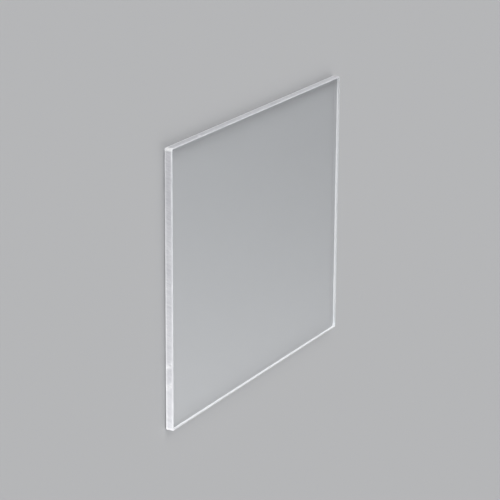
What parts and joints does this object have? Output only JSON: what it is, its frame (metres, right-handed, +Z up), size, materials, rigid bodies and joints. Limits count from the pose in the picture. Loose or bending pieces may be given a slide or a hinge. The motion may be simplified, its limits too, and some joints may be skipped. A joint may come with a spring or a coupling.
{
  "type": "clear acrylic sheet",
  "caption": "Flat clear acrylic sheet cut to size, with glossy faces, satin machined edges, slightly eased corners and a fine bevel round both faces.",
  "frame": {"origin": "middle of the underside, the face that the sheet lies on", "axes": "+Z up through the thickness, +X along the long side, +Y along the short side"},
  "size_m": [0.25, 0.2, 0.006],
  "materials": {
    "clear_acrylic": "clear, glossy faces with satin machined edges"
  },
  "bodies": {
    "root": {"acrylic_sheet": "clear_acrylic"}
  },
  "joints": []
}
